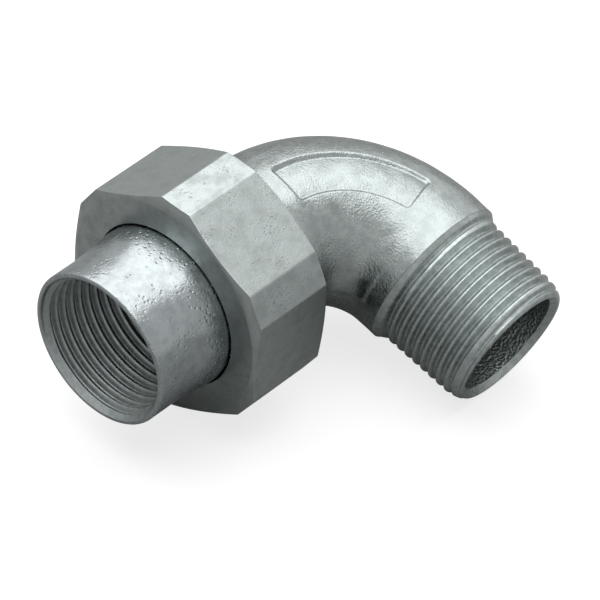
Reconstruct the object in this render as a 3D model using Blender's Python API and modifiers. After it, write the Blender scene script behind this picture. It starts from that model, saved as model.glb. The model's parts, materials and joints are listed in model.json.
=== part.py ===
"""A ninety degree conduit union: cast elbow, union nut and female hub, lying at rest.

The elbow's two legs meet at a crossing point. Heights along a leg are measured from there.
Leg 1, with the union joint, lies level and points along -X. Leg 2, with the male thread,
points along -Y and drops until its thread touches the ground. The origin is the middle of
the nut's bottom flat, and the ground is at z = 0. Every size is in metres.
"""

import math

import bmesh
import bpy
from mathutils import Matrix, Vector

# Roundness and fits
SEGMENTS = 40                    # facets round every turned surface
BEND_STEPS = 12                  # stretches along the bend
FLARE_STEPS = 3
CLEARANCE = 0.0003               # gap between neighbouring pieces
OVERSHOOT = 0.002                # how far a cutter runs past the face that it cuts
WELD = 0.00001                   # points nearer than this become one
SAME_POINT = 0.000001

# Conduit thread, the same at both ends
THREAD_PITCH = 0.001814
THREAD_DEPTH = 0.00132
THREAD_TAPER = 1 / 32            # change of radius along the axis
MALE_TIP_RADIUS = 0.01284        # crest at the free end
SOCKET_OVERSIZE = 0.00046        # socket's root at its mouth, over the male crest at its tip

# Both kinds of thread
FLANK = math.tan(math.radians(30))
GROOVE_PROUD = 0.08              # share of its depth that a groove's cutter stands proud
RUN_OUT_TURNS = 0.5              # a groove fades out of the material over this many turns
RUN_OUT_LIFT = 1.2               # share of its depth that a faded groove moves by

# Elbow casting
TIP_WALL = 0.00122               # under the last male groove
BEND_RADIUS = 0.0197             # centre line of the bend
MALE_NECK = 0.0034               # straight casting between the bend and leg 2's turned stretch
UNION_NECK = 0.0058              # straight casting between the bend and leg 1's shoulder
SPIGOT_LENGTH = 0.0188           # turned stretch of leg 2
SPIGOT_CHAMFER = 0.0010          # step from the casting down to the thread
PLAIN_BAND = 0.0023              # turned stretch before the first groove
TIP_CHAMFER = 0.0009
MOUTH_CHAMFER = 0.0003
FLARE_LENGTH = 0.0045            # the neck widens over this length up to the shoulder

# Cone joint between elbow and hub
SEAT_WIDTH = 0.0036              # radial width of the cone, which is at 45 degrees
NOSE_LAND = 0.0009               # flat ring on the hub's nose
FACE_GAP = 0.0006                # between the two flat faces outside the cone

# Union thread
UNION_PITCH = 0.002309
UNION_DEPTH = 0.00115
UNION_LENGTH = 0.0105            # shoulder to the face of the union end
UNION_ROOT_FLAT = 0.00063        # elbow's groove
NUT_ROOT_FLAT = 0.00041          # nut's groove
RADIAL_GAP = 0.00035             # crest of one thread to root of the other
UNION_CHAMFER = 0.0006

# Union nut
SHOULDER_GAP = 0.0004            # shoulder to the nut's rear face
NUT_WALL = 0.00235               # under the wide flats
CORNER_RISE = 0.0028             # across the cut corners, more than across the wide flats
FACE_INSET = 0.0005              # end chamfers start this far inside the wide flats
NUT_CHAMFER = 0.0008             # length of the end chamfer at the corners
LIP_THICKNESS = 0.0039
LIP_HOLD = 0.00155               # how far the lip reaches in front of the hub's collar
COUNTERBORE_DEPTH = 0.0012
COUNTERBORE_GAP = 0.0001         # counterbore's radius over the thread's root

# Female hub
HUB_WALL = 0.00097               # at the mouth, outside the thread's root
HUB_EDGE = 0.00025
COLLAR_THICKNESS = 0.0026
SOCKET_OFFSET = 0.00095          # back of the nut's lip to the bottom of the socket
SOCKET_DEPTH = 0.0186
SOCKET_RUN_OUT = 0.00145         # bottom of the socket to the start of its thread
MOUTH_FLARE = 0.0002             # radius added to the thread's root by the mouth's chamfer
NUT_HOLE_GAP = 0.00093           # between the hub and the hole in the nut

# Label panel: a shallow bare recess on top of the bend
PANEL_START = math.radians(4.5)      # round the bend, from leg 1
PANEL_END = math.radians(75.5)
PANEL_OUTER = math.radians(74.5)     # round the tube, from its outer side
PANEL_INNER = math.radians(103.5)
PANEL_DEPTH = 0.00045
PANEL_STEPS = 6

# Radii that follow
BORE_RADIUS = MALE_TIP_RADIUS - THREAD_DEPTH - TIP_WALL
CAST_RADIUS = MALE_TIP_RADIUS + THREAD_TAPER * SPIGOT_LENGTH + SPIGOT_CHAMFER
SOCKET_RADIUS = MALE_TIP_RADIUS + SOCKET_OVERSIZE
HUB_RADIUS = SOCKET_RADIUS + HUB_WALL
NUT_HOLE_RADIUS = HUB_RADIUS + NUT_HOLE_GAP
COLLAR_RADIUS = NUT_HOLE_RADIUS + LIP_HOLD
UNION_RADIUS = COLLAR_RADIUS + UNION_DEPTH
NUT_CREST_RADIUS = COLLAR_RADIUS + RADIAL_GAP
NUT_ROOT_RADIUS = UNION_RADIUS + RADIAL_GAP
WIDE_APOTHEM = NUT_ROOT_RADIUS + NUT_WALL
NARROW_APOTHEM = WIDE_APOTHEM + CORNER_RISE / 2
NUT_FACE_RADIUS = WIDE_APOTHEM - FACE_INSET

# Heights along leg 1 that follow, and then those along leg 2
SHOULDER = BEND_RADIUS + UNION_NECK
SEAT_REACH = SHOULDER + UNION_LENGTH
SEAT_BOTTOM = SEAT_REACH - SEAT_WIDTH
NUT_BACK = SHOULDER + SHOULDER_GAP
COLLAR_BACK = SEAT_REACH + FACE_GAP
COLLAR_FRONT = COLLAR_BACK + COLLAR_THICKNESS
LIP_BACK = COLLAR_FRONT + CLEARANCE
NUT_LENGTH = LIP_BACK + LIP_THICKNESS - NUT_BACK
NUT_MIDDLE = NUT_BACK + NUT_LENGTH / 2
SOCKET_BOTTOM = LIP_BACK + SOCKET_OFFSET
HUB_REACH = SOCKET_BOTTOM + SOCKET_DEPTH
CAST_END = BEND_RADIUS + MALE_NECK
MALE_REACH = CAST_END + SPIGOT_LENGTH

AXIS = Vector((NUT_MIDDLE, 0, NARROW_APOTHEM))
ALONG_LEG_1 = Matrix.Rotation(math.radians(-90), 4, "Y")
ALONG_LEG_2 = Matrix.Rotation(math.radians(90), 4, "X")


def clear_scene():
    for item in list(bpy.data.objects):
        bpy.data.objects.remove(item)


def new_collection(name):
    collection = bpy.data.collections.new(name)
    bpy.context.scene.collection.children.link(collection)
    return collection


def add_object(name, data, collection, matrix=None):
    item = bpy.data.objects.new(name, data)
    collection.objects.link(item)
    if matrix is not None:
        item.matrix_world = matrix
    return item


def as_cutter(item):
    item.hide_render = True
    item.display_type = "WIRE"
    return item


def metal(name, color, roughness):
    material = bpy.data.materials.new(name)
    material.use_nodes = True
    shader = material.node_tree.nodes["Principled BSDF"]
    shader.inputs["Base Color"].default_value = (*color, 1)
    shader.inputs["Metallic"].default_value = 1.0
    shader.inputs["Roughness"].default_value = roughness
    return material


def add_screw(item, angle=math.tau, offset=0.0, steps=SEGMENTS):
    screw = item.modifiers.new("Screw", "SCREW")
    screw.axis = "Z"
    screw.angle = angle
    screw.screw_offset = offset
    screw.steps = steps
    screw.render_steps = steps
    screw.use_merge_vertices = offset == 0.0 and angle == math.tau
    screw.merge_threshold = SAME_POINT
    return screw


def turned(name, profile, collection, matrix=None, closed=False):
    """Turn (radius, height) points round Z. They run down the outer side, top to bottom."""
    mesh = bpy.data.meshes.new(name)
    edges = [(i, i + 1) for i in range(len(profile) - 1)]
    if closed:
        edges.append((len(profile) - 1, 0))
    mesh.from_pydata([(radius, 0, height) for radius, height in profile], edges, [])
    item = add_object(name, mesh, collection, matrix)
    add_screw(item)
    return item


def boolean(item, cutter, operation="DIFFERENCE"):
    cut = item.modifiers.new(cutter.name, "BOOLEAN")
    cut.operation = operation
    cut.solver = "EXACT"
    cut.object = cutter


def weld(item):
    """Join the points that cuts leave almost on top of each other."""
    join = item.modifiers.new("Weld", "WELD")
    join.merge_threshold = WELD


def baked(item):
    """Replace an object's mesh by its evaluated one, with open ends closed."""
    evaluated = item.evaluated_get(bpy.context.evaluated_depsgraph_get())
    mesh = bpy.data.meshes.new_from_object(evaluated)
    work = bmesh.new()
    work.from_mesh(mesh)
    bmesh.ops.remove_doubles(work, verts=work.verts, dist=SAME_POINT)
    bmesh.ops.holes_fill(work, edges=[edge for edge in work.edges if edge.is_boundary])
    bmesh.ops.recalc_face_normals(work, faces=work.faces)
    work.to_mesh(mesh)
    work.free()
    item.modifiers.clear()
    item.data = mesh
    return item


def groove_section(crest, depth, root_flat, inward):
    """Corners of a groove's cross-section as (radius, height), a little proud of the crest."""
    proud = GROOVE_PROUD * depth
    sign = -1 if inward else 1
    half_mouth = root_flat / 2 + (depth + proud) * FLANK
    mouth, root = crest + sign * proud, crest - sign * depth
    if root_flat == 0:
        return [(mouth, half_mouth), (root, 0), (mouth, -half_mouth)]
    return [(mouth, half_mouth), (root, root_flat / 2), (root, -root_flat / 2), (mouth, -half_mouth)]


def thread_cutter(name, section, pitch, start, end, collection, matrix,
                  taper=0.0, fade_start=0.0, fade_end=0.0, fade_by=0.0):
    """A right-hand helical groove from start to end, with its ends faded out of the material.

    The radius changes by taper with height. It shifts by fade_by at a faded end, and this
    shift dies out over fade_start or fade_end turns.
    """
    steps = math.ceil((end - start) / pitch * SEGMENTS)
    mesh = bpy.data.meshes.new(name)
    count = len(section)
    mesh.from_pydata([(radius, 0, height) for radius, height in section],
                     [(i, (i + 1) % count) for i in range(count)], [])
    item = add_object(name, mesh, collection)
    add_screw(item, steps * math.tau / SEGMENTS, pitch * steps / SEGMENTS, steps)
    baked(item)
    turns = steps / SEGMENTS
    for vertex in item.data.vertices:
        x, y, z = vertex.co
        turn = round(turns_at(x, y, z, section, pitch) * SEGMENTS) / SEGMENTS
        fade = max(fade_amount(turn, fade_start), fade_amount(turns - turn, fade_end))
        radius = math.hypot(x, y)
        scale = (radius + taper * z + fade_by * fade) / radius
        vertex.co = (x * scale, y * scale, z + start)
    item.matrix_world = matrix
    return as_cutter(item)


def turns_at(x, y, z, section, pitch):
    """How many turns along the helix a point is, from its height and its angle."""
    angle = math.atan2(y, x) / math.tau
    nearest = min((abs(math.hypot(x, y) - radius), height) for radius, height in section)[1]
    options = [(z - side) / pitch for side in (nearest, -nearest)]
    best = min(options, key=lambda turn: abs((turn - angle + 0.5) % 1 - 0.5))
    return angle + round(best - angle)


def fade_amount(turn, length):
    return max(0.0, 1 - turn / length) if length else 0.0


def crest_radius(height):
    """Crest of the male conduit thread at a height along leg 2."""
    return MALE_TIP_RADIUS + THREAD_TAPER * (MALE_REACH - height)


def rest_tilt():
    """Angle that leg 2 drops by when its thread and the nut's flat both touch the ground."""
    along = MALE_REACH - TIP_CHAMFER
    radius = crest_radius(along)
    return math.asin(NARROW_APOTHEM / math.hypot(along, radius)) - math.atan2(radius, along)


def bend_route(start, end):
    """Centre line in the elbow's own frame: leg 1 from start, the bend, leg 2 to end."""
    centre = Vector((-BEND_RADIUS, -BEND_RADIUS, 0))
    points = [Vector((-start, 0, 0))]
    for i in range(BEND_STEPS + 1):
        angle = math.radians(90) * i / BEND_STEPS
        points.append(centre + BEND_RADIUS * Vector((math.sin(angle), math.cos(angle), 0)))
    points.append(Vector((0, -end, 0)))
    return points


def tube(name, radius, points, collection):
    """A closed tube along a line of points, made as a curve and turned into a mesh."""
    curve = bpy.data.curves.new(name, "CURVE")
    curve.dimensions = "3D"
    curve.bevel_depth = radius
    curve.bevel_resolution = SEGMENTS // 2 - 2
    curve.use_fill_caps = True
    spline = curve.splines.new("POLY")
    spline.points.add(len(points) - 1)
    for target, point in zip(spline.points, points):
        target.co = (*point, 1)
    source = add_object(name + "_route", curve, collection)
    bpy.context.view_layer.update()
    evaluated = source.evaluated_get(bpy.context.evaluated_depsgraph_get())
    mesh = bpy.data.meshes.new_from_object(evaluated)
    bpy.data.objects.remove(source)
    item = add_object(name, mesh, collection)
    return baked(item)


def union_boss(cutters, matrix):
    """Flared end of leg 1 that carries the union thread, still solid."""
    flare_end = SHOULDER - FLARE_LENGTH
    foot = CAST_RADIUS - CLEARANCE
    profile = [
        (0, SEAT_REACH),
        (UNION_RADIUS - UNION_CHAMFER, SEAT_REACH),
        (UNION_RADIUS, SEAT_REACH - UNION_CHAMFER),
    ]
    for i in range(FLARE_STEPS + 1):
        angle = math.radians(90) * (1 - i / FLARE_STEPS)
        profile.append((UNION_RADIUS - (UNION_RADIUS - foot) * math.cos(angle),
                        flare_end + FLARE_LENGTH * math.sin(angle)))
    profile.append((0, flare_end))
    return as_cutter(turned("union_boss", profile, cutters, matrix))


def seat_cutter(cutters, matrix):
    """Cone that the hub seats in."""
    profile = [
        (0, SEAT_REACH + OVERSHOOT),
        (BORE_RADIUS + SEAT_WIDTH + OVERSHOOT, SEAT_REACH + OVERSHOOT),
        (BORE_RADIUS - OVERSHOOT, SEAT_BOTTOM - OVERSHOOT),
        (0, SEAT_BOTTOM - OVERSHOOT),
    ]
    return as_cutter(turned("seat_cone", profile, cutters, matrix))


def lathe_cutter(cutters):
    """The ring that turning takes off leg 2: it leaves the step, the taper and the tip."""
    outside = CAST_RADIUS + OVERSHOOT
    step_end = CAST_END + SPIGOT_CHAMFER
    step_radius = crest_radius(step_end)
    tip = MALE_REACH - TIP_CHAMFER
    tip_radius = crest_radius(tip)
    step_slope = (crest_radius(CAST_END) + SPIGOT_CHAMFER - step_radius) / SPIGOT_CHAMFER
    profile = [
        (outside, MALE_REACH + OVERSHOOT),
        (outside, step_end - (outside - step_radius) / step_slope),
        (step_radius, step_end),
        (tip_radius, tip),
        (tip_radius - TIP_CHAMFER - OVERSHOOT, MALE_REACH + OVERSHOOT),
    ]
    return as_cutter(turned("spigot_turning", profile, cutters, ALONG_LEG_2, closed=True))


def facing_cutter(cutters):
    """Block that faces leg 2 off square at its reach."""
    mesh = bpy.data.meshes.new("male_facing")
    work = bmesh.new()
    size = 4 * CAST_RADIUS
    bmesh.ops.create_cube(work, size=size)
    bmesh.ops.translate(work, verts=work.verts, vec=(0, 0, MALE_REACH + size / 2))
    work.to_mesh(mesh)
    work.free()
    return as_cutter(add_object("male_facing", mesh, cutters, ALONG_LEG_2))


def mouth_cutter(cutters):
    """Small cone that breaks the edge of the bore at the male end."""
    profile = [
        (0, MALE_REACH + OVERSHOOT),
        (BORE_RADIUS + MOUTH_CHAMFER + OVERSHOOT, MALE_REACH + OVERSHOOT),
        (BORE_RADIUS + MOUTH_CHAMFER - OVERSHOOT, MALE_REACH - OVERSHOOT),
        (0, MALE_REACH - OVERSHOOT),
    ]
    return as_cutter(turned("male_mouth", profile, cutters, ALONG_LEG_2))


def panel_cutter(cutters):
    """Shallow bare recess: a strip of the bend's surface swept round the bend's centre."""
    floor, above = CAST_RADIUS - PANEL_DEPTH, CAST_RADIUS + OVERSHOOT
    angles = [PANEL_INNER + (PANEL_OUTER - PANEL_INNER) * i / PANEL_STEPS
              for i in range(PANEL_STEPS + 1)]
    section = [(floor, angle) for angle in angles] + [(above, angle) for angle in reversed(angles)]
    profile = [(BEND_RADIUS + radius * math.cos(angle), 0, radius * math.sin(angle))
               for radius, angle in section]
    count = len(profile)
    mesh = bpy.data.meshes.new("label_panel")
    mesh.from_pydata(profile, [(i, (i + 1) % count) for i in range(count)], [])
    item = add_object("label_panel", mesh, cutters)
    add_screw(item, PANEL_START - PANEL_END, steps=BEND_STEPS)
    baked(item)
    centre = Matrix.Translation((-BEND_RADIUS, -BEND_RADIUS, 0))
    item.matrix_world = centre @ Matrix.Rotation(math.radians(90) - PANEL_START, 4, "Z")
    return as_cutter(item)


def union_groove(cutters, matrix):
    """Groove of the union thread on the elbow."""
    section = groove_section(UNION_RADIUS, UNION_DEPTH, UNION_ROOT_FLAT, inward=False)
    return thread_cutter("union_groove", section, UNION_PITCH, SHOULDER + CLEARANCE,
                         SEAT_REACH + UNION_PITCH, cutters, matrix,
                         fade_start=RUN_OUT_TURNS, fade_by=RUN_OUT_LIFT * UNION_DEPTH)


def male_groove(cutters):
    """Groove of the conduit thread on leg 2, which fades out at the plain band."""
    start = CAST_END + PLAIN_BAND
    section = groove_section(crest_radius(start), THREAD_DEPTH, 0, inward=False)
    return thread_cutter("male_groove", section, THREAD_PITCH, start,
                         MALE_REACH + THREAD_PITCH, cutters, ALONG_LEG_2,
                         taper=-THREAD_TAPER, fade_start=RUN_OUT_TURNS,
                         fade_by=RUN_OUT_LIFT * THREAD_DEPTH)


def build_elbow(parts, cutters):
    """One casting: bend, male end, and union end with its thread and seat."""
    tilt = rest_tilt()
    # The elbow is turned by the tilt about leg 1, so what meets the nut is turned back.
    union_frame = Matrix.Rotation(-tilt, 4, "X") @ ALONG_LEG_1
    elbow = tube("elbow_body", CAST_RADIUS, bend_route(SHOULDER, MALE_REACH + OVERSHOOT), parts)
    bore = tube("bore", BORE_RADIUS, bend_route(SEAT_REACH + OVERSHOOT, MALE_REACH + OVERSHOOT), cutters)
    boolean(elbow, union_boss(cutters, union_frame), "UNION")
    boolean(elbow, facing_cutter(cutters))
    boolean(elbow, lathe_cutter(cutters))
    boolean(elbow, as_cutter(bore))
    boolean(elbow, seat_cutter(cutters, union_frame))
    boolean(elbow, mouth_cutter(cutters))
    boolean(elbow, union_groove(cutters, union_frame))
    boolean(elbow, male_groove(cutters))
    boolean(elbow, panel_cutter(cutters))
    weld(elbow)
    place = Matrix.Translation(AXIS) @ Matrix.Rotation(tilt, 4, "X")
    elbow.matrix_world = place
    for cutter in cutters.objects:
        cutter.matrix_world = place @ cutter.matrix_world
    elbow.data.materials.append(metal("plated casting", (0.42, 0.45, 0.44), 0.32))
    return elbow


def hexagon(name, apothem, turn, cutters, matrix):
    """Hexagonal bar over the nut's length, with one flat facing local +X before it is turned."""
    mesh = bpy.data.meshes.new(name)
    work = bmesh.new()
    radius = apothem / math.cos(math.radians(30))
    bmesh.ops.create_cone(work, cap_ends=True, segments=6, radius1=radius, radius2=radius,
                          depth=NUT_LENGTH + 2 * OVERSHOOT)
    place = Matrix.Translation((0, 0, NUT_LENGTH / 2)) @ Matrix.Rotation(turn, 4, "Z")
    bmesh.ops.transform(work, verts=work.verts, matrix=place)
    work.to_mesh(mesh)
    work.free()
    return as_cutter(add_object(name, mesh, cutters, matrix))


def corner_radius_of_nut():
    """Radius of the edges between wide and narrow flats."""
    across = (NARROW_APOTHEM * math.cos(math.radians(30)) - WIDE_APOTHEM) / math.sin(math.radians(30))
    return math.hypot(NARROW_APOTHEM, across)


def nut_groove(cutters, matrix):
    """Groove of the nut's thread: it lies on the elbow's ridge, half a pitch from its groove."""
    start = SHOULDER + CLEARANCE - UNION_PITCH / 2 - NUT_BACK
    end = SEAT_REACH + UNION_PITCH / 2 + CLEARANCE - NUT_BACK
    section = groove_section(NUT_CREST_RADIUS, NUT_ROOT_RADIUS - NUT_CREST_RADIUS,
                             NUT_ROOT_FLAT, inward=True)
    return thread_cutter("nut_groove", section, UNION_PITCH, start, end, cutters, matrix,
                         fade_end=RUN_OUT_TURNS, fade_by=-RUN_OUT_LIFT * UNION_DEPTH)


def build_nut(parts, cutters, union_axis):
    """Nut with wide and narrow flats, chamfered ends, a thread and a lip in front."""
    outside = NUT_FACE_RADIUS + 2 * OVERSHOOT
    drop = 2 * OVERSHOOT * NUT_CHAMFER / (corner_radius_of_nut() - NUT_FACE_RADIUS)
    counterbore = NUT_ROOT_RADIUS + COUNTERBORE_GAP
    lip_back = LIP_BACK - NUT_BACK
    profile = [
        (NUT_HOLE_RADIUS, NUT_LENGTH),
        (NUT_FACE_RADIUS, NUT_LENGTH),
        (outside, NUT_LENGTH - drop),
        (outside, drop),
        (NUT_FACE_RADIUS, 0),
        (counterbore, 0),
        (counterbore, COUNTERBORE_DEPTH),
        (NUT_CREST_RADIUS, COUNTERBORE_DEPTH + (counterbore - NUT_CREST_RADIUS) * FLANK),
        (NUT_CREST_RADIUS, lip_back),
        (NUT_HOLE_RADIUS, lip_back),
    ]
    place = union_axis.matrix_world @ Matrix.Translation((0, 0, NUT_BACK))
    nut = turned("union_nut", profile, parts, closed=True)
    boolean(nut, hexagon("wide_flats", WIDE_APOTHEM, math.radians(30), cutters, place), "INTERSECT")
    boolean(nut, hexagon("narrow_flats", NARROW_APOTHEM, 0, cutters, place), "INTERSECT")
    boolean(nut, nut_groove(cutters, place))
    weld(nut)
    nut.parent = union_axis
    nut.location = (0, 0, NUT_BACK)
    nut.data.materials.append(metal("plated nut", (0.50, 0.53, 0.52), 0.35))
    return nut


def hub_groove(cutters, matrix, nose):
    """Groove of the conduit thread in the socket, which fades out at its inner end."""
    mouth = HUB_REACH - nose
    start = SOCKET_BOTTOM + SOCKET_RUN_OUT - nose
    root_at_start = SOCKET_RADIUS - THREAD_TAPER * (mouth - start)
    section = groove_section(root_at_start - THREAD_DEPTH, THREAD_DEPTH, 0, inward=True)
    return thread_cutter("hub_groove", section, THREAD_PITCH, start, mouth + THREAD_PITCH,
                         cutters, matrix, taper=THREAD_TAPER, fade_start=RUN_OUT_TURNS,
                         fade_by=-RUN_OUT_LIFT * THREAD_DEPTH)


def build_hub(parts, cutters, union_axis):
    """Hub with a cone nose that seats in the elbow, a collar that the nut pulls, and a socket."""
    cone_gap = CLEARANCE * math.sqrt(2)
    nose = SEAT_BOTTOM + NOSE_LAND + cone_gap
    cone_top = BORE_RADIUS + COLLAR_BACK - SEAT_BOTTOM - cone_gap
    mouth_crest = SOCKET_RADIUS - THREAD_DEPTH
    flare = SOCKET_RADIUS + MOUTH_FLARE - mouth_crest
    crest_bottom = mouth_crest - THREAD_TAPER * SOCKET_DEPTH
    heights = [
        (SOCKET_RADIUS + MOUTH_FLARE, HUB_REACH),
        (HUB_RADIUS - HUB_EDGE, HUB_REACH),
        (HUB_RADIUS, HUB_REACH - HUB_EDGE),
        (HUB_RADIUS, COLLAR_FRONT),
        (COLLAR_RADIUS, COLLAR_FRONT),
        (COLLAR_RADIUS, COLLAR_BACK),
        (cone_top, COLLAR_BACK),
        (BORE_RADIUS + NOSE_LAND, nose),
        (BORE_RADIUS, nose),
        (BORE_RADIUS, SOCKET_BOTTOM - (crest_bottom - BORE_RADIUS)),
        (crest_bottom, SOCKET_BOTTOM),
        (mouth_crest - THREAD_TAPER * flare, HUB_REACH - flare),
    ]
    profile = [(radius, height - nose) for radius, height in heights]
    place = union_axis.matrix_world @ Matrix.Translation((0, 0, nose))
    hub = turned("female_hub", profile, parts, closed=True)
    boolean(hub, hub_groove(cutters, place, nose))
    weld(hub)
    hub.parent = union_axis
    hub.location = (0, 0, nose)
    hub.data.materials.append(metal("plated hub", (0.47, 0.50, 0.49), 0.28))
    return hub


def main():
    clear_scene()
    parts = new_collection("conduit_union")
    cutters = new_collection("cutters")
    build_elbow(parts, cutters)
    union_axis = add_object("union_axis", None, parts, Matrix.Translation(AXIS) @ ALONG_LEG_1)
    bpy.context.view_layer.update()
    build_nut(parts, cutters, union_axis)
    build_hub(parts, cutters, union_axis)
    bpy.context.view_layer.update()


main()
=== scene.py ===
"""Finished look of the conduit union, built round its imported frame.

Lengths are in metres. Heights along a leg of the elbow are measured from the point where the
centre lines of its two legs cross. Leg 1 carries the union joint and points along -X. Leg 2
carries the male thread and points along -Y, dropped by the tilt at which the union rests.
"""

import json
import math

import bmesh
import bpy
from bpy.props import FloatProperty, FloatVectorProperty, PointerProperty
from mathutils import Matrix, Vector, noise

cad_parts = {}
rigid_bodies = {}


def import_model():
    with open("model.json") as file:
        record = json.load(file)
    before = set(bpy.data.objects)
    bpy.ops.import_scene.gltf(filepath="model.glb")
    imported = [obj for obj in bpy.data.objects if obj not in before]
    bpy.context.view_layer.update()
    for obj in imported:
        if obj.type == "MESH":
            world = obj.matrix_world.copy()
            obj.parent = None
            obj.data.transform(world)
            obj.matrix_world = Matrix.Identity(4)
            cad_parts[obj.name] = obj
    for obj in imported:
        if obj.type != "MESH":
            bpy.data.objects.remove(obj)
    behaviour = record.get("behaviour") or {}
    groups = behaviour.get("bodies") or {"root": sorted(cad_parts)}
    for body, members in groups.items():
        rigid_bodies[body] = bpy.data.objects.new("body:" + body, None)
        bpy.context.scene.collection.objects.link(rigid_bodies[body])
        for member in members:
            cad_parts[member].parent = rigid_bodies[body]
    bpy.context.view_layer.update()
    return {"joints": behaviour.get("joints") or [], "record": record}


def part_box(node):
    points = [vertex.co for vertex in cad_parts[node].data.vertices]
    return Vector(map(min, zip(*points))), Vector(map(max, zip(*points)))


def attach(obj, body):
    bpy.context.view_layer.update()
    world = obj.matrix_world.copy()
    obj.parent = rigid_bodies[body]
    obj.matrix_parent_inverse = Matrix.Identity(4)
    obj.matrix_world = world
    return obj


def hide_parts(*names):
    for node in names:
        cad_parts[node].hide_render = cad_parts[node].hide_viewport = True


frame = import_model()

bl_info = {
    "name": "Conduit Union",
    "version": (1, 0, 0),
    "blender": (4, 5, 0),
    "location": "3D Viewport > Sidebar > Conduit",
    "description": "Models and finishes a plated conduit union elbow in its packed frame",
    "category": "Object",
}

# What the frame says
NUT_LOW, NUT_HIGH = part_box("union_nut")
HUB_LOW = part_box("female_hub")[0]
JOINTS = {joint["name"]: joint for joint in frame["joints"]}
MOUNTS = {mount["name"]: mount for mount in frame["record"]["mounts"]}
AXIS_HEIGHT = JOINTS["nut_turn"]["pos_m"][2]
TILT = math.asin(-MOUNTS["male_face"]["axis"][2])

# Fineness of the meshes
ELBOW_SEGMENTS = 160
HUB_SEGMENTS = 180
NUT_SEGMENTS = 360
BEND_STEPS = 60
FLARE_STEPS = 10
PANEL_CUTS = 3
TUBE_ROWS = 40  # along the hub's tube
NUT_ROWS = 8  # along the nut's flats
SOFT_STEPS = 3  # round a small soft edge
RIM_STEPS = 4  # round the hub's rim
MERGE = 0.000002  # points closer than this become one
SMOOTH_BELOW = 44  # degrees between faces that look like one surface
NUT_SMOOTH_BELOW = 32  # fewer on the nut, so that its flats stay flat

# Facts of form that are not for changing
FLANK = math.tan(math.radians(30))
RUN_OUT_TURNS = 0.5  # a groove fades in or out over this many turns
RUN_OUT_LIFT = 1.2  # share of its depth that a faded groove has moved by
THREAD_EDGE = 0.00012  # half width of the bevel along a thread's corners
SOCKET_EDGE = 0.00006  # the same in the socket, where they are sharper
STEP_SLANT = 4  # drop of the turned step over its length
END_LAND = 0.00006  # width of the flat between the male end's rim and its mouth
WAVE_GRAIN = 0.003  # size of the waves in the cast skin
SIXTH = math.radians(60)  # the nut repeats itself after this angle
NUT_CORNER = math.radians(8)  # from the middle of a narrow flat to its edge
EDGE_SOFT = 0.00012  # rounding between the nut's flats
CHAMFER_SOFT = 0.0001  # rounding between its flats and its end chamfers
CROWDED = (math.radians(7), math.radians(13))  # the mesh's columns between these angles
CROWD = math.radians(0.6)  # gather within this angle of a corner between flats
NOMINAL_CREASE = 0.0004  # where the chamfer's edge lies in the nut's skin before shaping
CREASE_ROWS = (0.0, 0.5, 0.8, 1.0, 1.2, 1.5)  # rows near each end, in shares of that
CREASE_SOFT = 0.00008  # half length of the rounding along that edge

# Finish
MOTTLED = (0.35, 0.65)  # span of a noise over which it changes a colour
SPREAD = (0.3, 0.7)  # and a wider one, for roughness
MOUTH_RINGS = (0.0008, 0.0014)  # how deep in the socket its turning rings fade

# Studio
LAMP_TARGET = Vector((0.012, -0.01, 0.02))
LAMP_DISTANCE = 1.2
SOFTBOX_WAY = Vector((0.12, 0.27, 0.96))
SIDE_LAMP_WAY = Vector((0.94, -0.08, 0.31))
FLOOR_SIZE = 6

QUARTER = math.radians(90)
ALONG_LEG_1 = Matrix.Rotation(-QUARTER, 4, "Y")
ALONG_LEG_2 = Matrix.Rotation(QUARTER, 4, "X")

# Kinds of property


def number(name, default, description, **kind):
    return FloatProperty(name=name, default=default, description=description, **kind)


def length(name, default, description, least=0.0):
    return number(name, default, description, unit="LENGTH", min=least, precision=5)


def angle(name, default, description):
    return number(name, math.radians(default), description, subtype="ANGLE")


def share(name, default, description):
    return number(name, default, description, subtype="FACTOR", min=0.0, max=1.0)


def shade(name, default, description):
    return FloatVectorProperty(name=name, default=default, description=description,
                               subtype="COLOR", size=3, min=0.0, max=1.0)


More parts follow.
